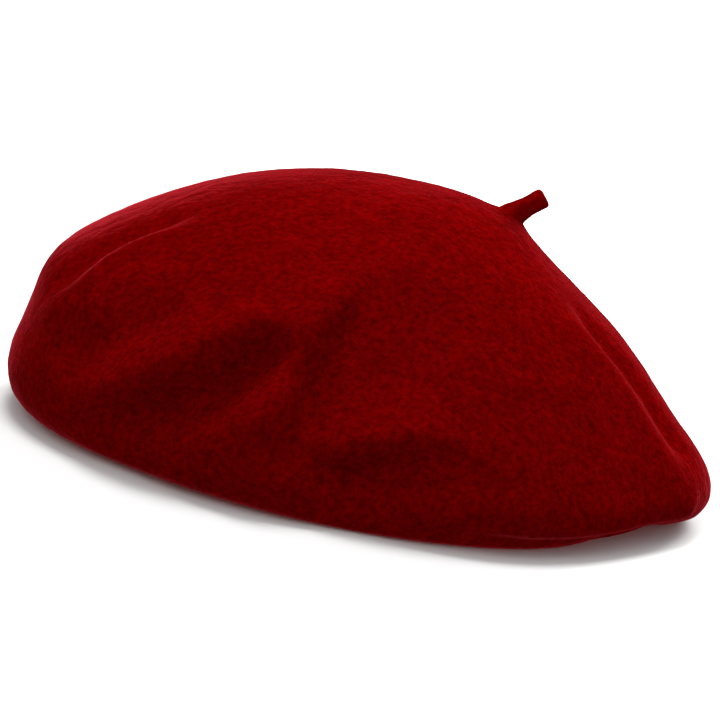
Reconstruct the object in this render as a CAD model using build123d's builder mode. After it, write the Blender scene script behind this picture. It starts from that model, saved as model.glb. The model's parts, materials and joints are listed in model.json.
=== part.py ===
"""A felt beret: one-piece felt body with a stalk, leather sweatband, loose lining and labels.

Units are millimetres.  +Z is up.  The origin is the centre of the head opening, in the plane
that the beret rests on.  The wearer faces -Y, and the crown flops over towards -X.
"""

import os
from math import atan2, degrees, hypot, sqrt

from build123d import *

# ---- driving dimensions ------------------------------------------------------------------
felt = 2.5  # thickness of the fulled felt
head_radius = 91.0  # inside of the sweatband: a 57 cm head
hem_radius = 92.6  # inside of the felt's turned-in edge
hem_outer = 97.5
hem_height = 5.0  # two thicknesses of felt

# Level sections of the felt body, from its flat underside to the top of the crown:
# height, then left, right, front and back reach from the centre of the head opening.
body_sections = [
    (0.0, -155.0, 104.0, -122.0, 122.0),
    (6.0, -168.0, 110.0, -131.0, 131.0),
    (17.0, -173.0, 114.0, -135.0, 135.0),
    (37.0, -169.0, 100.0, -130.0, 131.0),
    (59.0, -158.0, 77.0, -113.0, 117.0),
    (76.0, -140.0, 57.0, -94.0, 101.0),
    (90.0, -118.0, 37.0, -71.0, 83.0),
    (101.0, -93.0, 21.0, -44.0, 62.0),
    (108.0, -66.0, 6.0, -20.0, 42.0),
    (110.5, -46.0, -12.0, -2.0, 26.0),
]

stalk_foot = (17.0, 20.0)  # where the stalk leaves the crown, seen from above
stalk_radius = 3.9
stalk_length = 12.2
stalk_round = 1.2  # rounding of the stalk's end
stalk_direction = Vector(0.78, 0.10, 0.62).normalized()
stalk_gap = 0.4  # free space under the stalk's round foot
root_radius = 3.2  # the stalk's root, where it goes through the felt
root_play = 0.2  # the hole in the felt is this much larger
root_disc_radius = 8.0  # the root, splayed out flat inside the crown
root_disc = 1.5
root_gap = 1.2  # the crown curves away from the flat disc
root_stitch_circle = 5.6
root_stitches = 6

band = 1.2  # thickness of the leather sweatband
band_foot = 0.5  # the sweatband stands this far above the table
band_height = 28.0
join_gap = 0.6  # butt join at the back of the sweatband
join_stitches = 6
join_pitch = 3.6
join_lift = 1.6  # the join is sewn above the row of stitches round the foot

cloth = 0.5  # thickness of the lining
dome_radius = 92.0  # outside of the lining's dome, at its foot on the sweatband
dome_height = 45.0
seam_rise = 30.0  # the seam round the crown lining, above the lining's foot
seam_gap = 0.3

thread = 0.35  # radius of the sewing thread
stitch = 3.6  # length of one stitch
band_stitch_height = 4.5
band_stitches = 96
edge_stitch = 2.4
edge_stitches = 72
seam_stitches = 72

label_length = 36.0  # woven label in the middle of the crown lining
label_width = 19.2
label = 0.4
label_gap = 0.1  # air between the label and the lining
label_inset = 1.2  # its stitches run this far inside its edge
label_pitch = 2.4
label_stitch = 1.6
label_thread = 0.2

care_width = 18.0  # care label, caught in the lining's seam at the back
care_length = 20.0
care = 0.35
care_gap = 0.8  # space between the label's top and the lining

# ---- worked out from the driving dimensions ----------------------------------------------
lining_foot = band_foot + band_height + seam_gap
lining_top = lining_foot + dome_height
seam_height = lining_foot + seam_rise
dome_ball = (dome_radius**2 + dome_height**2) / (2 * dome_height)  # radius of the dome's sphere
ball_height = lining_top - dome_ball
label_ball = dome_ball - cloth - label_gap


def reach_on(ball, height):
    """Distance from the axis to a sphere round the dome's centre, at a height above the table."""
    return sqrt(ball**2 - (height - ball_height) ** 2)


def height_on(ball, reach):
    """Height above the table of a sphere round the dome's centre, at a distance from the axis."""
    return ball_height + sqrt(ball**2 - reach**2)


# ---- felt body: one seamless shell, turned in round the head opening -----------------------
with BuildPart() as full_body:
    for height, left, right, front, back in body_sections:
        with BuildSketch(Plane.XY.offset(height)):
            with Locations(((left + right) / 2, (front + back) / 2)):
                Ellipse((right - left) / 2, (back - front) / 2)
    loft()

foot_column = Axis((*stalk_foot, 0), (0, 0, 1))
foot_point, foot_normal = full_body.part.find_intersection_points(foot_column)[-1]
foot_plane = Plane(foot_point, z_dir=foot_normal)

with BuildPart() as hollow:
    add(full_body.part)
    offset(amount=-felt)

with BuildPart() as felt_body:
    add(full_body.part)
    add(hollow.part, mode=Mode.SUBTRACT)
    with BuildSketch():
        Circle(hem_outer)
    extrude(amount=hem_height)
    with BuildSketch():
        Circle(hem_radius)
    extrude(amount=2 * hem_height, mode=Mode.SUBTRACT)
    with BuildSketch(foot_plane):
        Circle(root_radius + root_play)
    extrude(amount=2 * felt, both=True, mode=Mode.SUBTRACT)
felt_body.part.label = "felt_body"

# ---- stalk: a felt nub that bends at its foot, with its root inside the crown --------------
stalk_pivot = foot_point + foot_normal * (stalk_radius + stalk_gap)
with BuildPart() as stalk:
    with BuildSketch(Plane(stalk_pivot, z_dir=stalk_direction)):
        Circle(stalk_radius)
    extrude(amount=stalk_length)
    tip = stalk.faces().sort_by(Axis(stalk_pivot, stalk_direction))[-1]
    fillet(tip.edges(), radius=stalk_round)
    with Locations(stalk_pivot):
        Sphere(stalk_radius)
stalk.part.label = "stalk"

disc_top = felt + root_gap  # below the outside of the crown
disc_foot = disc_top + root_disc
with BuildPart() as stalk_root:
    with BuildSketch(foot_plane):
        Circle(root_radius)
    extrude(amount=-disc_foot)
    with BuildSketch(foot_plane.offset(-disc_foot)):
        Circle(root_disc_radius)
    extrude(amount=root_disc)
stalk_root.part.label = "stalk_root"

with BuildPart(foot_plane.offset(-disc_top)) as stalk_root_stitches:
    with PolarLocations(root_stitch_circle, root_stitches):
        Cylinder(thread, 2 * (root_disc + thread))
stalk_root_stitches.part.label = "stalk_root_stitches"

# ---- sweatband: a leather strip, butt-joined at the back -----------------------------------
with BuildPart() as sweatband:
    with BuildSketch(Plane.XY.offset(band_foot)):
        Circle(head_radius + band)
        Circle(head_radius, mode=Mode.SUBTRACT)
        with Locations((0, head_radius)):
            Rectangle(join_gap, 4 * band, mode=Mode.SUBTRACT)
    extrude(amount=band_height)
sweatband.part.label = "sweatband"

with BuildPart(Plane.XY.offset(band_stitch_height)) as sweatband_stitches:
    with PolarLocations(head_radius + thread, band_stitches, start_angle=90 + 180 / band_stitches):
        Cylinder(thread, stitch, rotation=(90, 0, 0))
sweatband_stitches.part.label = "sweatband_stitches"

join_middle = Plane.XY.offset(band_foot + band_height / 2 + join_lift)
with BuildPart(join_middle) as sweatband_join_stitches:
    with Locations(Plane.XZ.offset(-head_radius - thread)):
        with GridLocations(0, join_pitch, 1, join_stitches):
            Cylinder(thread, stitch, rotation=(0, 90, 0))
sweatband_join_stitches.part.label = "sweatband_join_stitches"

# ---- lining: a side and a crown, sewn together, hanging as a loose dome inside the felt -----
with BuildPart() as lining_dome:
    with Locations((0, 0, ball_height)):
        Sphere(dome_ball)
        Sphere(dome_ball - cloth, mode=Mode.SUBTRACT)
    split(bisect_by=Plane.XY.offset(lining_foot), keep=Keep.TOP)

with BuildPart() as lining_side:
    add(lining_dome.part)
    split(bisect_by=Plane.XY.offset(seam_height - seam_gap / 2), keep=Keep.BOTTOM)
lining_side.part.label = "lining_side"

with BuildPart() as lining_crown:
    add(lining_dome.part)
    split(bisect_by=Plane.XY.offset(seam_height + seam_gap / 2), keep=Keep.TOP)
lining_crown.part.label = "lining_crown"

seam_ball = dome_ball - cloth / 2
seam_radius = reach_on(seam_ball, seam_height)
seam_lean = degrees(atan2(seam_height - ball_height, seam_radius))
with BuildPart(Plane.XY.offset(seam_height)) as lining_seam_stitches:
    with PolarLocations(seam_radius, seam_stitches):
        Cylinder(thread, stitch, rotation=(0, -seam_lean, 0))
lining_seam_stitches.part.label = "lining_seam_stitches"

with BuildPart(Plane.XY.offset(lining_foot)) as lining_edge_stitches:
    with PolarLocations(head_radius + band / 2, edge_stitches, start_angle=180 / edge_stitches):
        Cylinder(thread, edge_stitch)
lining_edge_stitches.part.label = "lining_edge_stitches"

# ---- blank woven label in the crown, and the blank care label at the back -------------------
with BuildPart() as lining_label:
    with Locations((0, 0, ball_height)):
        Sphere(label_ball)
        Sphere(label_ball - label, mode=Mode.SUBTRACT)
    with BuildSketch():
        Rectangle(label_length, label_width)
    extrude(amount=lining_top, mode=Mode.INTERSECT)
lining_label.part.label = "lining_label"


long_side = label_length / 2 - label_inset
short_side = label_width / 2 - label_inset
long_count = round(2 * long_side / label_pitch)
short_count = round(2 * short_side / label_pitch)
along_x = [
    ((i + 0.5 - long_count / 2) * label_pitch, side * short_side)
    for i in range(long_count)
    for side in (-1, 1)
]
along_y = [
    (side * long_side, (i + 0.5 - short_count / 2) * label_pitch)
    for i in range(short_count)
    for side in (-1, 1)
]
label_underside = label_ball - label
with BuildPart() as lining_label_stitches:
    with Locations(*[(x, y, height_on(label_underside, hypot(x, y))) for x, y in along_x]):
        Cylinder(label_thread, label_stitch, rotation=(0, 90, 0))
    with Locations(*[(x, y, height_on(label_underside, hypot(x, y))) for x, y in along_y]):
        Cylinder(label_thread, label_stitch, rotation=(90, 0, 0))
lining_label_stitches.part.label = "lining_label_stitches"

care_top = seam_height - care_gap
care_wall = reach_on(dome_ball - cloth, care_top)
care_y = sqrt(care_wall**2 - (care_width / 2) ** 2) - care_gap
with BuildPart() as care_label:
    with BuildSketch(Plane.XY.offset(care_top - care_length)):
        with Locations((0, care_y)):
            Rectangle(care_width, care)
    extrude(amount=care_length)
care_label.part.label = "care_label"

# ---- one STEP file for each piece -----------------------------------------------------------
os.makedirs("parts", exist_ok=True)
for piece in (
    felt_body,
    stalk,
    stalk_root,
    stalk_root_stitches,
    sweatband,
    sweatband_stitches,
    sweatband_join_stitches,
    lining_side,
    lining_crown,
    lining_seam_stitches,
    lining_edge_stitches,
    lining_label,
    lining_label_stitches,
    care_label,
):
    export_step(piece.part, f"parts/{piece.part.label}.step")
print("stalk hinge at", stalk_pivot, "care label hinge at", (0, care_y, care_top))
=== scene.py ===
import json
from math import cos, pi, radians, sin, sqrt

import bmesh
import bpy
import numpy as np
from mathutils import Matrix, Vector, noise


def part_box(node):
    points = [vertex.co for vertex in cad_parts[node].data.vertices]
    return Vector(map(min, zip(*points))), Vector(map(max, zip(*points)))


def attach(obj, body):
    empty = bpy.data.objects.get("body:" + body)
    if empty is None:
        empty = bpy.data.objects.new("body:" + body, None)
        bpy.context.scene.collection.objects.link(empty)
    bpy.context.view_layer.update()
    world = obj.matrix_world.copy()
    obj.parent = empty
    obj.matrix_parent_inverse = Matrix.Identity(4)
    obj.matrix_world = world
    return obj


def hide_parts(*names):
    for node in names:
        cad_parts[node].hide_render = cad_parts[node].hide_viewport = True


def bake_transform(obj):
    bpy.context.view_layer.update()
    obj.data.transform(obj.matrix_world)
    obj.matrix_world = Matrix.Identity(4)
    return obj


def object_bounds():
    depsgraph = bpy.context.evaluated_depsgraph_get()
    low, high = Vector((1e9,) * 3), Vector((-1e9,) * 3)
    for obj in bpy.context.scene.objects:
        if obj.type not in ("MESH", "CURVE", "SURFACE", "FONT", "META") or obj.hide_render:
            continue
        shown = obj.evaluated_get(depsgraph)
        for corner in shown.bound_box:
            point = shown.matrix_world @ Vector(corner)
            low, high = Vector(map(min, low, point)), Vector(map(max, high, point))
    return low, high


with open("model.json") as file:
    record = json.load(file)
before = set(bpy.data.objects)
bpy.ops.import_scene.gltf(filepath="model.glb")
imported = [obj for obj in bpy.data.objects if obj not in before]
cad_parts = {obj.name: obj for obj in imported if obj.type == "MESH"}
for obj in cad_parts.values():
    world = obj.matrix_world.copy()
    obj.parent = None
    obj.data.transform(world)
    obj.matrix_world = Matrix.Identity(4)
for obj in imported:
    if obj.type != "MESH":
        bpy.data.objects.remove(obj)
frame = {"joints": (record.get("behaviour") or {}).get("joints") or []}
cad_low, cad_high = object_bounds()

MM = 0.001

# ---- camera --------------------------------------------------------------------------------
CAMERA_ELEVATION = radians(12.4)
CAMERA_ROLL = radians(10.5)  # the beret leans to the right in the picture
CAMERA_DISTANCE = 1.615
CAMERA_LENS = 200.0
CAMERA_AIM = Vector((-2.8, -2.5, -19.0)) * MM  # from the middle of the CAD box

# ---- studio --------------------------------------------------------------------------------
ROOM_LIGHT = 0.62
FLOOR_REACH = 12.0
KEY_PLACE = (-0.4, 0.75, 2.9)
KEY_SIZE = 1.2
KEY_POWER = 53.0
FILL_PLACE = (-1.2, -1.8, 1.9)
FILL_SIZE = 1.6
FILL_POWER = 6.0
RIM_PLACE = (1.0, 2.5, 1.2)
RIM_SIZE = 1.2
RIM_POWER = 150.0

# ---- felt body -----------------------------------------------------------------------------
FELT = 2.5 * MM
# Level sections of the felt, within 5 mm of the CAD solid's, with the underside and the crown's
# top: height, then left, right, front and back reach from the centre of the head opening, in
# millimetres.
SECTIONS = (
    (0.0, -95.1, 95.1, -95.1, 95.1),
    (0.0, -126.0, 99.0, -110.0, 110.0),
    (0.3, -155.0, 104.0, -122.0, 122.0),
    (6.0, -167.0, 112.5, -131.0, 131.0),
    (17.0, -171.0, 114.0, -135.0, 135.0),
    (37.0, -168.0, 98.0, -130.0, 132.0),
    (59.0, -162.5, 78.0, -113.0, 119.0),
    (76.0, -143.5, 57.5, -94.0, 103.0),
    (90.0, -120.0, 38.5, -71.0, 85.0),
    (101.0, -96.0, 23.0, -44.0, 64.0),
    (108.0, -68.0, 6.0, -20.0, 43.0),
    (110.6, -46.0, -12.0, -2.0, 26.0),
    (111.0, -30.5, -27.5, 10.5, 13.5),
)
UNDERSIDE_SECTIONS = 2
# Where the edge stands out or in, seen from above: direction and spread in degrees, and amount
# in millimetres.
EDGE_PULLS = ((-8.0, 12.0, 3.2), (-33.0, 20.0, -5.5), (28.0, 20.0, -3.0), (203.0, 16.0, 2.5))
# Where the edge curls up off the table, given the same way.
EDGE_LIFTS = ((-27.0, 16.0, 3.3), (235.0, 24.0, 1.0))
PULL_FULL = 20.0 * MM  # pulls and lifts are whole up to this height and gone at the next
PULL_GONE = 80.0 * MM
AROUND = 400
OUTER_ROWS = 176
INNER_STEP = 3  # the inside has every third row
HEM_ROUND = 2.5 * MM  # the felt turns in over this radius
HEM_OUTER = 97.5 * MM  # reach of its cut edge, inside the beret
HEM_EDGE = 0.7 * MM  # rounding of the cut edge
HEM_FOOT = (0.3 * MM, 0.4 * MM)  # where it meets the felt below: out from it, and above that felt
INSIDE_FROM = 99.5 * MM  # the inside starts at this reach

# Folds of the slouched crown.  Each has a crest with a gentle side on its left and a steep side
# on its right: height of the crest, depth of the drop beside it, width of the gentle side, of
# the steep side and of the way back up, the shares of its length that fade in and out at its
# ends, and the points that its crest runs through.  Lengths and points are in millimetres.
FOLDS = (
    # the ridge that rises from the left
    (5.5, 12.5, 13, 9, 15, 0.5, 0.14, (
        (-143, -83, 19), (-121, -101, 32), (-97, -109, 48), (-78, -104, 62), (-62, -95, 73),
    )),
    # the fold up the middle, beside the broad valley
    (4.5, 12.5, 10, 11, 30, 0.15, 0.6, (
        (-73, -130, 22), (-63, -127, 38), (-58, -116, 55),
        (-52, -100, 70), (-46, -88, 80), (-28, -58, 94),
    )),
    # the low ridge over the pocket at the front
    (3.0, 9.5, 9, 11, 16, 0.25, 0.5, (
        (-53, -133, 22), (-34, -131, 33), (-11, -126, 41), (15, -121, 39), (32, -117, 33),
    )),
    # the lip along the front edge
    (4.2, 2.6, 8, 8, 9, 0.35, 0.12, (
        (-6, -134, 16), (20, -128, 14), (40, -117, 13), (60, -100, 12),
        (80, -79, 12), (95, -58, 12), (110, -28, 12),
    )),
    # the side that is turned away
    (4.0, 6.0, 12, 12, 16, 0.3, 0.3, ((-104, 66, 84), (-126, 76, 68), (-142, 82, 48), (-150, 84, 28))),
    (4.0, 6.0, 12, 12, 16, 0.3, 0.3, ((-50, 80, 90), (-70, 104, 70), (-84, 116, 50), (-92, 122, 30))),
    (3.0, 4.5, 12, 12, 16, 0.3, 0.3, ((6, 96, 76), (12, 114, 58), (16, 126, 38), (18, 132, 22))),
)
# Folds that roll over towards their right and end there in a crease, given the same way.
ROLLS = (
    # the upper left
    (2.6, 4.0, 10, 12, 5, 0.25, 0.22, (
        (-99, -41, 91), (-116, -45, 82), (-132, -50, 71), (-144, -57, 56), (-160, -41, 42),
    )),
    # up the right side
    (1.5, 4.5, 12, 14, 6, 0.2, 0.25, (
        (104, -44, 21), (96, -45, 31), (78, -40, 50), (56, -38, 70), (36, -27, 86),
    )),
)
# Hollows of the crown: depth, half-width, fade in and out, and the points that they run through.
HOLLOWS = (
    (6.5, 12, 0.3, 0.3, ((-148, -66, 30), (-133, -82, 44), (-117, -86, 58), (-99, -84, 70))),
    (3.0, 14, 0.3, 0.3, ((-12, -60, 94), (-8, -84, 80), (-10, -104, 62), (-16, -118, 46))),
)
ROUTE_POINTS = 30  # points of the smooth line through a fold's few
FOLDS_FULL = 6.0 * MM  # below this height the folds die out
FOLD_SOFTENING = 6  # how often folds and waves are averaged with what is round them
WAVE_HEIGHT = 0.9 * MM  # slow unevenness of the whole felt
WAVE_SIZE = 45.0 * MM
LUMP_HEIGHT = 0.22 * MM
LUMP_SIZE = 6.0 * MM

# ---- stalk ---------------------------------------------------------------------------------
STALK_FOOT = (17.0 * MM, 20.0 * MM)
STALK_DIRECTION = Vector((0.78, 0.10, 0.62)).normalized()
STALK_RADIUS = 4.2 * MM
STALK_LENGTH = 13.2 * MM
STALK_ROUND = 1.6 * MM
STALK_SUNK = 3.0 * MM  # its root starts this far under the outside of the felt
STALK_FLARE = 3.2 * MM  # how much wider it is at its root
STALK_FLARE_FADE = 5.5 * MM
STALK_LUMP_HEIGHT = 0.3 * MM
STALK_LUMP_SIZE = 4.0 * MM
SHOULDER_HEIGHT = 2.6 * MM  # the felt rises towards the stalk
SHOULDER_WIDTH = 8.0 * MM

# ---- inside --------------------------------------------------------------------------------
BAND = 1.2 * MM
BAND_WAVE = 0.5 * MM  # how far the leather's free upper edge waves in and out
JOIN = 0.3 * MM  # half of the gap where the leather's two ends meet at the back
THREAD = 0.35 * MM
FINE_THREAD = 0.2 * MM
BAND_STITCHES = 96
BAND_STITCH_HEIGHT = 4.5 * MM
BAND_STITCH_SLANT = 0.25 * MM
STITCH = 3.6 * MM
JOIN_STITCHES = 6
JOIN_STITCH_SLANT = 0.3 * MM
JOIN_MIDDLE = 16.1 * MM
EDGE_STITCHES = 72
EDGE_STITCH_ENDS = np.array((-1.4, 1.2)) * MM  # below and above the lining's foot
EDGE_STITCH_OUT = np.array((0.0, 0.4)) * MM  # how far out those ends lie
EDGE_STITCH_SLANT = 0.004  # radians round the opening
SEAM_STITCHES = 72
SEAM_STITCH_SLANT = 0.006
CLOTH = 0.5 * MM
PUCKERS = 34
PUCKER_DEPTH = 1.3 * MM
PUCKER_FADE = 16.0 * MM  # how far the puckers reach into the crown lining
FLAT_BACK = radians(16)  # the lining lies flat where the care label hangs
LABEL = 0.4 * MM
LABEL_INSET = 1.2 * MM
LABEL_PITCH = 2.4 * MM
LABEL_STITCH = 1.6 * MM
LABEL_SLACK = 0.15 * MM  # it doesn't lie quite flat
CARE = 0.35 * MM
CARE_CURL = 2.2 * MM
ROOT_STITCHES = 6
ROOT_STITCH_CIRCLE = 5.6 * MM
ROOT_STITCH = 2.4 * MM
# Outline of the stalk's root, splayed under the felt: distance from its middle and depth.
ROOT_OUTLINE = (
    (2.9, 2.2), (3.0, 3.1), (4.5, 3.7), (7.3, 3.8),
    (8.0, 4.3), (7.6, 4.9), (4.0, 5.2), (0.6, 5.3),
)


# ---- geometry helpers ----------------------------------------------------------------------
def spline(knots, values, at):
    """Natural cubic spline through values at the knots."""
    gaps = np.diff(knots)
    slopes = np.diff(values, axis=0) / gaps[:, None]
    matrix = np.eye(len(knots))
    right = np.zeros_like(values)
    for i in range(1, len(knots) - 1):
        matrix[i, i - 1 : i + 2] = gaps[i - 1], 2 * (gaps[i - 1] + gaps[i]), gaps[i]
        right[i] = 6 * (slopes[i] - slopes[i - 1])
    bend = np.linalg.solve(matrix, right)
    k = np.clip(np.searchsorted(knots, at, side="right") - 1, 0, len(knots) - 2)
    gap = gaps[k][:, None]
    after = (at - knots[k])[:, None]
    before = gap - after
    curve = (bend[k] * before**3 + bend[k + 1] * after**3) / (6 * gap)
    line = (values[k] / gap - bend[k] * gap / 6) * before
    return curve + line + (values[k + 1] / gap - bend[k + 1] * gap / 6) * after


def smooth_line(points, count):
    """A smooth line of count points through a few points."""
    points = np.array(points, float)
    knots = np.concatenate([[0], np.cumsum(np.linalg.norm(np.diff(points, axis=0), axis=1))])
    return spline(knots, points, np.linspace(0, knots[-1], count))


def ease(x):
    """0 below 0, 1 above 1, and smooth between."""
    x = np.clip(x, 0, 1)
    return x * x * (3 - 2 * x)


def unit(vectors):
    return vectors / np.maximum(np.linalg.norm(vectors, axis=-1, keepdims=True), 1e-12)


def grid_normals(grid):
    """Outward normals of a grid of loops that run round +Z, from the foot up."""
    around = np.roll(grid, -1, 1) - np.roll(grid, 1, 1)
    along = np.gradient(grid, axis=0)
    return unit(np.cross(around, along))


def beside_line(line, points, normals):
    """Distance from each point to a line, above zero on its right, and the share of it there."""
    best = np.full(len(points), np.inf)
    side, share = np.zeros(len(points)), np.zeros(len(points))
    for i, (a, b) in enumerate(zip(line[:-1], line[1:])):
        run = b - a
        along = np.clip((points - a) @ run / (run @ run), 0, 1)
        apart = points - a - along[:, None] * run
        gap = np.linalg.norm(apart, axis=1)
        near = gap < best
        best[near] = gap[near]
        share[near] = (i + along[near]) / (len(line) - 1)
        side[near] = (apart * np.cross(run, normals)).sum(1)[near]
    return np.where(side < 0, -best, best), share


def smooth_noise(points, size, seed):
    """Smooth noise from -1 to 1 at each point, with features of that size."""
    shift = Vector((seed, 2.0 * seed, 3.0 * seed))
    return np.array([noise.noise(Vector(p) / size + shift) for p in points])


def tube(line, radii, sides, up):
    """Loops round a line, each of its own radius."""
    along = unit(np.gradient(line, axis=0))
    side = unit(np.cross(along, np.array(up)))
    over = np.cross(side, along)
    turn = np.linspace(0, 2 * pi, sides, endpoint=False)
    spokes = side[:, None] * np.cos(turn)[:, None] + over[:, None] * np.sin(turn)[:, None]
    return line[:, None] + spokes * np.broadcast_to(radii, len(line))[:, None, None]


def strip_section(width, thickness, count):
    """Distances across and through a thin strip with round edges, once round its section."""
    edge = thickness / 2
    flat = np.linspace(edge - width / 2, width / 2 - edge, count)
    turn = np.linspace(pi / 2, -pi / 2, 7)[1:-1]
    tip = width / 2 - edge + edge * np.cos(turn)
    across = np.concatenate([flat, tip, flat[::-1], -tip])
    side = np.full(count, edge)
    return across, np.concatenate([side, edge * np.sin(turn), -side, -edge * np.sin(turn)])


def round_points(radius, angle, height):
    """Points at a radius, an angle and a height, which may each be one number or many."""
    radius, angle, height = np.broadcast_arrays(radius, angle, height)
    return np.stack([radius * np.cos(angle), radius * np.sin(angle), height], -1)


def stitch(start, end, up, radius):
    """One stitch: a thread that rises out of the cloth, lies on it and goes in again."""
    share = np.linspace(0, 1, 9)[:, None]
    rise = radius * (1.7 * np.sin(pi * share) - 1.0)
    line = np.array(start) + (np.array(end) - np.array(start)) * share + np.array(up) * rise
    return skin(tube(line, radius, 8, up))


def skin(loops, ring=False):
    """Points and faces of a closed form through a row of loops, its ends closed or joined."""
    rows, columns = loops.shape[:2]
    points = loops.reshape(-1, 3)
    row, column = np.meshgrid(np.arange(rows if ring else rows - 1), np.arange(columns), indexing="ij")
    below = (row + 1) % rows * columns
    beside = (column + 1) % columns
    corners = (row * columns + column, below + column, below + beside, row * columns + beside)
    faces = np.stack(corners, -1).reshape(-1, 4).tolist()
    if not ring:
        start, end = len(points), len(points) + 1
        points = np.concatenate([points, loops[0].mean(0)[None], loops[-1].mean(0)[None]])
        last = (rows - 1) * columns
        faces += [(start, c, (c + 1) % columns) for c in range(columns)]
        faces += [(end, last + (c + 1) % columns, last + c) for c in range(columns)]
    return points, faces


def joined(forms):
    """Several forms as one list of points and faces."""
    points, faces, count = [], [], 0
    for form_points, form_faces in forms:
        points.append(form_points)
        faces += [[i + count for i in face] for face in form_faces]
        count += len(form_points)
    return np.concatenate(points), faces


def add_piece(name, form, material, nodes, body="beret"):
    """Makes a form into a piece that stands for CAD nodes and moves with a body."""
    points, faces = form
    mesh = bpy.data.meshes.new(name)
    mesh.from_pydata(points.tolist(), [], faces)
    edit = bmesh.new()
    edit.from_mesh(mesh)
    bmesh.ops.recalc_face_normals(edit, faces=edit.faces)
    edit.to_mesh(mesh)
    edit.free()
    mesh.polygons.foreach_set("use_smooth", [True] * len(mesh.polygons))
    mesh.materials.append(material)
    piece = bpy.data.objects.new(name, mesh)
    bpy.context.scene.collection.objects.link(piece)
    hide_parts(*nodes)
    if body:
        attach(piece, body)
    return piece


# ---- material helpers ----------------------------------------------------------------------
class Shader:
    """A material's principled shader with its node tree."""

    def __init__(self, name, **sockets):
        self.material = bpy.data.materials.new(name)
        self.material.use_nodes = True
        self.nodes = self.material.node_tree.nodes
        self.links = self.material.node_tree.links
        self.surface = self.nodes["Principled BSDF"]
        self.place = self.nodes.new("ShaderNodeTexCoord").outputs["Object"]
        for socket, value in sockets.items():
            self.surface.inputs[socket.replace("_", " ")].default_value = value

    def scaled(self, scale):
        mapping = self.nodes.new("ShaderNodeMapping")
        mapping.inputs["Scale"].default_value = scale
        self.links.new(self.place, mapping.inputs["Vector"])
        return mapping.outputs["Vector"]

    def noise(self, scale, detail=4.0, roughness=0.55, stretch=None):
        node = self.nodes.new("ShaderNodeTexNoise")
        node.inputs["Scale"].default_value = scale
        node.inputs["Detail"].default_value = detail
        node.inputs["Roughness"].default_value = roughness
        self.links.new(self.scaled(stretch) if stretch else self.place, node.inputs["Vector"])
        return node.outputs["Fac"]

    def cells(self, scale):
        node = self.nodes.new("ShaderNodeTexVoronoi")
        node.feature = "DISTANCE_TO_EDGE"
        node.inputs["Scale"].default_value = scale
        self.links.new(self.place, node.inputs["Vector"])
        return node.outputs["Distance"]

    def waves(self, scale, direction, distortion=0.0):
        node = self.nodes.new("ShaderNodeTexWave")
        node.bands_direction = direction
        node.inputs["Scale"].default_value = scale
        node.inputs["Distortion"].default_value = distortion
        self.links.new(self.place, node.inputs["Vector"])
        return node.outputs["Fac"]

    def ramp(self, factor, *stops):
        node = self.nodes.new("ShaderNodeValToRGB")
        elements = node.color_ramp.elements
        while len(elements) < len(stops):
            elements.new(0.5)
        for element, (position, color) in zip(elements, stops):
            element.position = position
            element.color = (*color, 1)
        self.links.new(factor, node.inputs["Fac"])
        return node.outputs["Color"]

    def mixed(self, kind, factor, first, second):
        node = self.nodes.new("ShaderNodeMix")
        node.data_type = "RGBA"
        node.blend_type = kind
        node.inputs["Factor"].default_value = factor
        self.links.new(first, node.inputs["A"])
        self.links.new(second, node.inputs["B"])
        return node.outputs["Result"]

    def added(self, first, second, share):
        node = self.nodes.new("ShaderNodeMath")
        node.operation = "MULTIPLY_ADD"
        node.inputs[1].default_value = share
        self.links.new(second, node.inputs[0])
        self.links.new(first, node.inputs[2])
        return node.outputs["Value"]

    def color(self, output):
        self.links.new(output, self.surface.inputs["Base Color"])

    def bump(self, height, depth, strength=1.0):
        node = self.nodes.new("ShaderNodeBump")
        node.inputs["Distance"].default_value = depth
        node.inputs["Strength"].default_value = strength
        self.links.new(height, node.inputs["Height"])
        self.links.new(node.outputs["Normal"], self.surface.inputs["Normal"])


def felt_material(name, dark, light):
    """Fulled wool: matted fibres, cloudy dye and a soft nap that catches the light."""
    felt = Shader(
        name,
        Roughness=1.0,
        Specular_IOR_Level=0.0,
        Sheen_Weight=1.0,
        Sheen_Roughness=0.15,
        Sheen_Tint=(1.0, 0.06, 0.085, 1.0),
    )
    grain = felt.noise(420.0, detail=6.0, roughness=0.62)
    tufts = felt.noise(150.0, detail=4.0, roughness=0.6)
    clouds = felt.noise(38.0, detail=3.0)
    fibres = felt.noise(1500.0, detail=3.0, stretch=(1.0, 0.55, 1.0))
    dye = felt.ramp(grain, (0.30, dark), (0.70, light))
    matted = felt.ramp(tufts, (0.30, (0.78, 0.78, 0.78)), (0.70, (1.0, 1.0, 1.0)))
    patches = felt.ramp(clouds, (0.25, (0.84, 0.84, 0.84)), (0.75, (1.0, 1.0, 1.0)))
    felt.color(felt.mixed("MULTIPLY", 1.0, felt.mixed("MULTIPLY", 1.0, dye, matted), patches))
    felt.bump(felt.added(felt.added(grain, tufts, 0.8), fibres, 0.25), 0.7 * MM, 0.75)
    return felt.material


def leather_material():
    leather = Shader("sweatband_leather", Roughness=0.48, Specular_IOR_Level=0.4)
    tone = leather.noise(55.0, detail=5.0)
    leather.color(leather.ramp(tone, (0.3, (0.045, 0.020, 0.012)), (0.75, (0.11, 0.052, 0.032))))
    leather.bump(leather.added(leather.cells(850.0), leather.noise(600.0), 0.3), 0.25 * MM, 0.7)
    return leather.material


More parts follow.
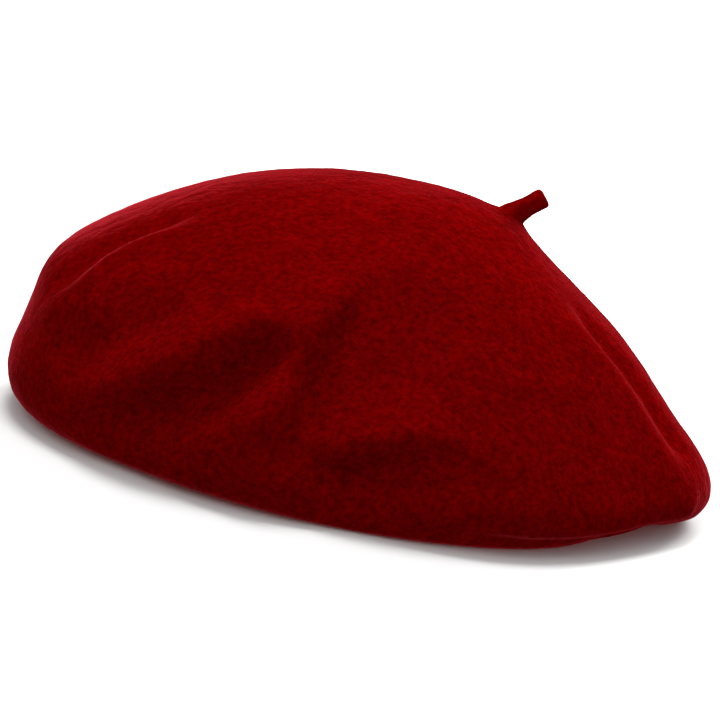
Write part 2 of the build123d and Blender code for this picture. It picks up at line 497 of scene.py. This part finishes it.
def satin_material():
    satin = Shader(
        "lining_satin",
        Roughness=0.36,
        Specular_IOR_Level=0.5,
        Sheen_Weight=0.25,
        Sheen_Tint=(1.0, 0.25, 0.25, 1.0),
        Anisotropic=0.5,
    )
    tone = satin.noise(70.0, detail=3.0)
    satin.color(satin.ramp(tone, (0.3, (0.15, 0.005, 0.010)), (0.8, (0.28, 0.014, 0.022))))
    satin.bump(satin.noise(1900.0, detail=2.0, stretch=(1.0, 0.25, 1.0)), 0.06 * MM, 0.6)
    return satin.material


def thread_material():
    thread = Shader("thread", Roughness=0.62, Specular_IOR_Level=0.3, Sheen_Weight=0.3)
    tone = thread.noise(900.0, detail=4.0)
    thread.color(thread.ramp(tone, (0.3, (0.13, 0.010, 0.010)), (0.7, (0.32, 0.030, 0.028))))
    thread.bump(thread.waves(900.0, "DIAGONAL", 1.0), 0.1 * MM, 0.6)
    return thread.material


def label_material():
    label = Shader("label_weave", Roughness=0.7, Specular_IOR_Level=0.25, Sheen_Weight=0.2)
    tone = label.noise(500.0, detail=4.0)
    label.color(label.ramp(tone, (0.3, (0.62, 0.58, 0.50)), (0.7, (0.82, 0.79, 0.71))))
    weave = label.added(label.waves(520.0, "X"), label.waves(520.0, "Z"), 1.0)
    label.bump(label.added(weave, label.waves(520.0, "Y"), 1.0), 0.08 * MM, 0.7)
    return label.material


# ---- camera and studio ---------------------------------------------------------------------
def add_camera():
    """Looks along +Y from the front, a little from above, rolled to the beret's lean."""
    back = Vector((0, -cos(CAMERA_ELEVATION), sin(CAMERA_ELEVATION)))
    level = Vector((1, 0, 0))
    upright = back.cross(level)
    right = level * cos(CAMERA_ROLL) + upright * sin(CAMERA_ROLL)
    up = upright * cos(CAMERA_ROLL) - level * sin(CAMERA_ROLL)
    camera = bpy.data.objects.new("camera", bpy.data.cameras.new("camera"))
    camera.data.lens = CAMERA_LENS
    camera.matrix_world = Matrix((right, up, back)).transposed().to_4x4()
    camera.location = (cad_low + cad_high) / 2 + CAMERA_AIM + back * CAMERA_DISTANCE
    bpy.context.scene.collection.objects.link(camera)
    bpy.context.scene.camera = camera


def add_light(name, place, size, power):
    """A square soft box that points at the beret."""
    light = bpy.data.objects.new(name, bpy.data.lights.new(name, "AREA"))
    light.data.size = size
    light.data.energy = power
    light.location = place
    light.rotation_euler = (-Vector(place)).to_track_quat("-Z", "Y").to_euler()
    bpy.context.scene.collection.objects.link(light)


def add_room():
    """A room that is white overhead and dim below the horizon."""
    world = bpy.data.worlds.new("room")
    world.use_nodes = True
    nodes, links = world.node_tree.nodes, world.node_tree.links
    height = nodes.new("ShaderNodeSeparateXYZ")
    ramp = nodes.new("ShaderNodeValToRGB")
    ramp.color_ramp.elements[0].position = 0.0
    ramp.color_ramp.elements[0].color = (0.7, 0.7, 0.7, 1)
    ramp.color_ramp.elements[1].position = 0.25
    ramp.color_ramp.elements[1].color = (1, 1, 1, 1)
    links.new(nodes.new("ShaderNodeTexCoord").outputs["Generated"], height.inputs["Vector"])
    links.new(height.outputs["Z"], ramp.inputs["Fac"])
    links.new(ramp.outputs["Color"], nodes["Background"].inputs["Color"])
    nodes["Background"].inputs["Strength"].default_value = ROOM_LIGHT
    bpy.context.scene.world = world


def add_floor():
    """White paper under the beret, which throws no red light back up at it."""
    mesh = bpy.data.meshes.new("floor")
    corners = [(x * FLOOR_REACH, y * FLOOR_REACH, 0) for x, y in ((-1, -1), (1, -1), (1, 1), (-1, 1))]
    mesh.from_pydata(corners, [], [(0, 1, 2, 3)])
    paper = Shader("floor_paper", Roughness=0.9, Specular_IOR_Level=0.0)
    paper.color(paper.ramp(paper.noise(3.0), (0.0, (0.93, 0.93, 0.93)), (1.0, (0.95, 0.95, 0.95))))
    mesh.materials.append(paper.material)
    floor = bpy.data.objects.new("floor", mesh)
    floor.visible_diffuse = False
    bpy.context.scene.collection.objects.link(floor)


def add_studio():
    """Floor, room, a soft box overhead, a weak one in front and a strong one behind."""
    add_floor()
    add_room()
    add_light("key", KEY_PLACE, KEY_SIZE, KEY_POWER)
    add_light("fill", FILL_PLACE, FILL_SIZE, FILL_POWER)
    add_light("rim", RIM_PLACE, RIM_SIZE, RIM_POWER)
    bpy.context.scene.view_settings.view_transform = "Standard"


# ---- felt body -----------------------------------------------------------------------------
def round_bumps(angle, bumps):
    """Sum of smooth bumps round the edge, each with its direction, spread and amount."""
    apart = [(angle - radians(at) + pi) % (2 * pi) - pi for at, _, _ in bumps]
    return sum(b[2] * MM * np.exp(-((gap / radians(b[1])) ** 2)) for gap, b in zip(apart, bumps))


def felt_base():
    """The smooth outside of the felt as a grid of loops from the hem to the crown's top."""
    sections = np.array(SECTIONS) * MM
    reach = (sections[:, 2] - sections[:, 1] + sections[:, 4] - sections[:, 3]) / 4
    steps = np.hypot(np.diff(reach), np.diff(sections[:, 0]))
    knots = np.concatenate([[0], np.cumsum(steps)])
    along = np.linspace(0, knots[-1], OUTER_ROWS)
    height, left, right, front, back = spline(knots, sections, along).T
    angle = np.linspace(0, 2 * pi, AROUND, endpoint=False)
    x = (left + right)[:, None] / 2 + (right - left)[:, None] / 2 * np.cos(angle)
    y = (front + back)[:, None] / 2 + (back - front)[:, None] / 2 * np.sin(angle)
    z = np.repeat(np.maximum(height, 0)[:, None], AROUND, 1)
    away = ease(along / knots[UNDERSIDE_SECTIONS])[:, None]
    low = 1 - ease((z - PULL_FULL) / (PULL_GONE - PULL_FULL))
    pull = round_bumps(angle, EDGE_PULLS) * away * low
    z = z + round_bumps(angle, EDGE_LIFTS) * away * low
    return np.stack([x + pull * np.cos(angle), y + pull * np.sin(angle), z], -1), away


def fold_profile(side, crest, drop, gentle, steep, back_up):
    """Height across a fold, at a distance from its crest that is above zero on its steep side."""
    slope = (crest + drop) / 2 * np.cos(pi * np.clip(side / steep, 0, 1)) + (crest - drop) / 2
    foot = -drop * np.exp(-((np.maximum(side - steep, 0) / back_up) ** 2))
    rise = crest * np.exp(-((side / gentle) ** 2))
    return np.where(side < 0, rise, np.where(side < steep, slope, foot))


def roll_profile(side, crest, drop, gentle, steep, back_up):
    """Height across a roll, which falls ever more steeply from its crest to a crease."""
    roll = crest - (crest + drop) * (np.maximum(side, 0) / steep) ** 1.5
    foot = -drop * np.exp(-np.maximum(side - steep, 0) / back_up)
    rise = crest * np.exp(-((side / gentle) ** 2))
    return np.where(side < 0, rise, np.where(side < steep, roll, foot))


def beside_route(route, fade_in, fade_out, points, normals):
    """Millimetres from each point to a route, and the share of the fold that is there."""
    side, share = beside_line(smooth_line(route, ROUTE_POINTS) * MM, points, normals)
    return side / MM, ease(share / fade_in) * ease((1 - share) / fade_out)


def fold_heights(points, normals):
    """How far the folds and hollows lift or sink each point."""
    lift = np.zeros(len(points))
    for profile, folds in ((fold_profile, FOLDS), (roll_profile, ROLLS)):
        for *shape, fade_in, fade_out, route in folds:
            side, taper = beside_route(route, fade_in, fade_out, points, normals)
            lift += taper * profile(side, *shape) * MM
    for depth, width, fade_in, fade_out, route in HOLLOWS:
        side, taper = beside_route(route, fade_in, fade_out, points, normals)
        lift -= taper * depth * MM * np.exp(-((side / width) ** 2))
    return lift


def softened(values, times):
    """A grid of values, averaged with its neighbours a few times."""
    for _ in range(times):
        around = (np.roll(values, 1, 1) + np.roll(values, -1, 1)) / 2
        values = (values + around) / 2
        values[1:-1] = values[1:-1] / 2 + (values[:-2] + values[2:]) / 4
    return values


def stalk_foot(grid, normals):
    """The point of the felt under the stalk, and the felt's normal there."""
    aside = np.hypot(grid[..., 0] - STALK_FOOT[0], grid[..., 1] - STALK_FOOT[1])
    aside[grid[..., 2] < cad_high.z / 2] = np.inf
    nearest = np.unravel_index(np.argmin(aside), aside.shape)
    return Vector(grid[nearest]), Vector(normals[nearest])


def felt_outside():
    """The outside of the felt with its folds, and the stalk's foot on it."""
    grid, away = felt_base()
    normals = grid_normals(grid)
    flat = grid.reshape(-1, 3)
    lift = fold_heights(flat, normals.reshape(-1, 3)) + WAVE_HEIGHT * smooth_noise(flat, WAVE_SIZE, 1.7)
    lift = softened(lift.reshape(grid.shape[:2]), FOLD_SOFTENING)
    lift += LUMP_HEIGHT * smooth_noise(flat, LUMP_SIZE, 4.1).reshape(lift.shape)
    high = ease(grid[..., 2] / FOLDS_FULL)
    grid = grid + normals * (lift * away * high)[..., None]
    grid[..., 2] = np.maximum(grid[..., 2], 0)
    foot, normal = stalk_foot(grid, grid_normals(grid))
    near = np.exp(-((np.linalg.norm(grid - np.array(foot), axis=-1) / SHOULDER_WIDTH) ** 2))
    grid = grid + np.array(STALK_DIRECTION + normal) / 2 * SHOULDER_HEIGHT * near[..., None]
    return grid, foot, normal


def add_felt(material):
    """The felt body: outside, turned-in hem round the head opening, and inside."""
    outside, foot, normal = felt_outside()
    inside = outside - grid_normals(outside) * FELT
    reach = np.linalg.norm(outside[..., :2], axis=-1).mean(1)
    first = int(np.argmax(reach > INSIDE_FROM))
    angle = np.linspace(0, 2 * pi, AROUND, endpoint=False)
    hem_middle = outside[0, 0, 0]
    turns = np.linspace(-pi / 2, -3 * pi / 2, 9)[1:]
    hem = [(hem_middle + HEM_ROUND * cos(turn), HEM_ROUND * (1 + sin(turn))) for turn in turns]
    hem += [(HEM_OUTER - HEM_EDGE, 2 * HEM_ROUND), (HEM_OUTER, 2 * HEM_ROUND - HEM_EDGE)]
    hem += [(HEM_OUTER + HEM_FOOT[0], HEM_ROUND + HEM_FOOT[1])]
    lips = [round_points(reach, angle, height) for reach, height in hem]
    rows = np.concatenate([outside[::-1], lips, inside[first::INNER_STEP]])
    add_piece("beret_felt", skin(rows), material, ["felt_body"])
    return foot, normal


# ---- stalk ---------------------------------------------------------------------------------
def add_stalk(material, foot, normal):
    """The felt nub, one with the crown at its flared root, its line running from under the felt past
    the bend's pivot to its tip.
    """
    pivot = Vector(next(j for j in frame["joints"] if j["name"] == "stalk_bend")["pos_m"])
    tip = pivot + STALK_DIRECTION * STALK_LENGTH
    route = (foot - normal * STALK_SUNK, (foot + pivot) / 2, pivot + STALK_DIRECTION * 3 * MM, tip)
    line = smooth_line(route, 44)
    length = np.concatenate([[0], np.cumsum(np.linalg.norm(np.diff(line, axis=0), axis=1))])
    flare = STALK_FLARE * np.exp(-((length / STALK_FLARE_FADE) ** 2))
    from_tip = np.clip((length[-1] - length) / STALK_ROUND, 0, 1)
    rounding = 0.9 * STALK_ROUND * (1 - np.sqrt(1 - (1 - from_tip) ** 2))
    loops = tube(line, STALK_RADIUS + flare - rounding, 48, (0, 1, 0))
    spokes = unit(loops - line[:, None])
    lumps = smooth_noise(loops.reshape(-1, 3), STALK_LUMP_SIZE, 2.3).reshape(loops.shape[:2])
    form = skin(loops + spokes * (STALK_LUMP_HEIGHT * lumps)[..., None])
    stalk = add_piece("stalk_felt", form, material, ["stalk"], body=None)
    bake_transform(stalk)


def add_stalk_root(material, thread, foot, normal):
    """The stalk's root, splayed out flat inside the crown and sewn to it."""
    to_local = normal.to_track_quat("Z", "Y").to_matrix()
    turn = np.linspace(0, 2 * pi, 60, endpoint=False)
    outline = np.array(ROOT_OUTLINE) * MM
    uneven = 1 + 0.05 * np.sin(5 * turn + 0.6) * ease(outline[:, :1] / (8 * MM))
    loops = round_points(outline[:, :1] * uneven, turn, -outline[:, 1:])
    loops = loops @ np.array(to_local).T + np.array(foot)
    add_piece("stalk_root_felt", skin(loops), material, ["stalk_root"])
    depth = -outline[-2, 1]
    forms = []
    for i in range(ROOT_STITCHES):
        middle, half = 2 * pi * i / ROOT_STITCHES, ROOT_STITCH / 2 / ROOT_STITCH_CIRCLE
        start, end = round_points(ROOT_STITCH_CIRCLE, np.array((middle - half, middle + half)), depth)
        start, end = (to_local @ Vector(p) + foot for p in (start, end))
        forms.append(stitch(start, end, -normal, THREAD))
    add_piece("stalk_root_thread", joined(forms), thread, ["stalk_root_stitches"])


# ---- sweatband -----------------------------------------------------------------------------
def add_sweatband(material):
    """A leather strip on edge inside the hem, its two ends butted together at the back."""
    low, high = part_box("sweatband")
    across, through = strip_section(high.z - low.z, BAND, 16)
    gap = JOIN / high.x
    angle = np.linspace(pi / 2 + gap, 5 * pi / 2 - gap, 480)[:, None]
    raised = (across / (high.z - low.z) + 0.5) ** 2
    wave = BAND_WAVE * raised * np.sin(7 * angle + 1.3 * np.sin(2 * angle))
    loops = round_points(high.x - BAND / 2 + through + wave, angle, (low.z + high.z) / 2 + across)
    add_piece("sweatband_strip", skin(loops), material, ["sweatband"])
    return high.x - BAND


def add_band_stitches(material, reach):
    """The row that sews the leather's foot to the hem, and the stitches across its join."""
    forms = []
    for i in range(BAND_STITCHES):
        middle, half = pi / 2 + 2 * pi * (i + 0.5) / BAND_STITCHES, STITCH / 2 / reach
        slant = BAND_STITCH_SLANT * np.array((-1, 1))
        ends = round_points(reach, middle + half * np.array((-1, 1)), BAND_STITCH_HEIGHT + slant)
        forms.append(stitch(*ends, (-cos(middle), -sin(middle), 0), THREAD))
    add_piece("sweatband_thread", joined(forms), material, ["sweatband_stitches"])
    forms = []
    for i in range(JOIN_STITCHES):
        height = JOIN_MIDDLE + (i + 0.5 - JOIN_STITCHES / 2) * STITCH
        ends = [(side * STITCH / 2, reach, height + side * JOIN_STITCH_SLANT) for side in (-1, 1)]
        forms.append(stitch(*ends, (0, -1, 0), THREAD))
    add_piece("join_thread", joined(forms), material, ["sweatband_join_stitches"])


# ---- lining --------------------------------------------------------------------------------
class Dome:
    """The lining's dome: a part of a ball, puckered where its side is gathered to its crown."""

    def __init__(self):
        foot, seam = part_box("lining_side")
        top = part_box("lining_crown")[1].z
        rise = top - foot.z
        self.ball = (seam.x**2 + rise**2) / (2 * rise)
        self.middle = top - self.ball
        self.foot = self.lean(foot.z)
        self.seam = self.lean(seam.z)

    def lean(self, height):
        """Angle from straight up to a height on the ball."""
        return np.arccos((height - self.middle) / self.ball)

    def points(self, lean, angle, depth):
        """Points on the dome, that far under its outside."""
        beyond = (lean - self.seam) * self.ball
        length = (self.foot - self.seam) * self.ball
        side = 1 - 0.85 * ease(beyond / length)
        crown = np.exp(-((beyond / PUCKER_FADE) ** 2))
        flat_back = 1 - np.exp(-(((angle % (2 * pi) - pi / 2) / FLAT_BACK) ** 2))
        pleat = np.sin(PUCKERS * angle + 1.6 * np.sin(5 * angle)) * (0.75 + 0.25 * np.sin(3 * angle))
        pucker = PUCKER_DEPTH * pleat * flat_back * np.where(beyond > 0, side, crown)
        reach = self.ball - depth + pucker
        return round_points(reach * np.sin(lean), angle, self.middle + reach * np.cos(lean))


def add_lining(material, dome):
    """Side and crown of the lining, each cut from flat satin."""
    angle = np.linspace(0, 2 * pi, 360, endpoint=False)
    side = np.linspace(dome.foot, dome.seam, 16)
    layers = (dome.points(side, angle[:, None], 0), dome.points(side[::-1], angle[:, None], CLOTH))
    form = skin(np.concatenate(layers, 1), ring=True)
    band = add_piece("lining_side_satin", form, material, ["lining_side"])
    crown = np.linspace(0.004, dome.seam, 28)[:, None]
    layers = (dome.points(crown, angle, 0), dome.points(crown[::-1], angle, CLOTH))
    form = skin(np.concatenate(layers, 0))
    disc = add_piece("lining_crown_satin", form, material, ["lining_crown"])


def add_lining_stitches(material, dome, reach):
    """Overcast stitches: lining to sweatband, and lining side to lining crown."""
    ends_apart = np.array((-1, 1))
    forms = []
    for i in range(EDGE_STITCHES):
        middle = 2 * pi * (i + 0.5) / EDGE_STITCHES
        height = dome.middle + dome.ball * cos(dome.foot) + EDGE_STITCH_ENDS
        angle = middle + EDGE_STITCH_SLANT * ends_apart
        ends = round_points(reach + EDGE_STITCH_OUT, angle, height)
        forms.append(stitch(*ends, (-cos(middle), -sin(middle), 0), THREAD))
    add_piece("edge_thread", joined(forms), material, ["lining_edge_stitches"])
    forms = []
    for i in range(SEAM_STITCHES):
        middle = 2 * pi * i / SEAM_STITCHES
        half = STITCH / 2 / dome.ball
        lean = dome.seam + half * ends_apart
        ends = dome.points(lean, middle + SEAM_STITCH_SLANT * ends_apart, CLOTH / 2)
        inward = (-cos(middle) * sin(dome.seam), -sin(middle) * sin(dome.seam), -cos(dome.seam))
        forms.append(stitch(*ends, inward, THREAD))
    add_piece("seam_thread", joined(forms), material, ["lining_seam_stitches"])


# ---- labels --------------------------------------------------------------------------------
def add_crown_label(material, thread, dome):
    """A blank woven label, sewn down round its edge in the middle of the crown lining."""
    low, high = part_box("lining_label")
    across, through = strip_section(high.y - low.y, LABEL, 16)
    x = np.linspace(low.x, high.x, 60)[:, None]
    ball = high.z - LABEL / 2 - dome.middle
    slack = LABEL_SLACK * np.sin(x / (3 * MM)) * np.cos(across / (4 * MM))
    height = dome.middle + np.sqrt(ball**2 - x**2 - across**2) + through + slack
    loops = np.stack(np.broadcast_arrays(x, across, height), -1)
    label = add_piece("crown_label", skin(loops), material, ["lining_label"])
    forms = []
    for half_run, half_side, turned in (
        (high.x - LABEL_INSET, high.y - LABEL_INSET, False),
        (high.y - LABEL_INSET, high.x - LABEL_INSET, True),
    ):
        count = round(2 * half_run / LABEL_PITCH)
        for i in range(count):
            middle = (i + 0.5 - count / 2) * LABEL_PITCH
            for side in (-half_side, half_side):
                ends = [(middle + step * LABEL_STITCH / 2, side) for step in (-1, 1)]
                ends = [(b, a) if turned else (a, b) for a, b in ends]
                under = ball - LABEL / 2
                ends = [(a, b, dome.middle + sqrt(under**2 - a**2 - b**2)) for a, b in ends]
                forms.append(stitch(*ends, (0, 0, -1), FINE_THREAD))
    add_piece("label_thread", joined(forms), thread, ["lining_label_stitches"])


def add_care_label(material):
    """A blank label that hangs from the lining's seam at the back and flips about its top."""
    low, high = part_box("care_label")
    across, through = strip_section(high.x - low.x, CARE, 12)
    down = np.linspace(0, 1, 30)[:, None]
    y = (low.y + high.y) / 2 + through - CARE_CURL * down**2
    z = high.z + (low.z - high.z) * down
    loops = np.stack(np.broadcast_arrays(across, y, z), -1)
    label = add_piece("care_tab", skin(loops), material, ["care_label"], "care_label")


add_camera()
add_studio()
felt = felt_material("felt", (0.105, 0.0002, 0.0003), (0.26, 0.0005, 0.0006))
dark_felt = felt_material("stalk_felt", (0.16, 0.0004, 0.0005), (0.30, 0.0008, 0.0009))
satin = satin_material()
thread = thread_material()
weave = label_material()
stalk_place = add_felt(felt)
add_stalk(dark_felt, *stalk_place)
add_stalk_root(dark_felt, thread, *stalk_place)
head_reach = add_sweatband(leather_material())
add_band_stitches(thread, head_reach)
lining = Dome()
add_lining(satin, lining)
add_lining_stitches(thread, lining, head_reach)
add_crown_label(weave, thread, lining)
add_care_label(weave)
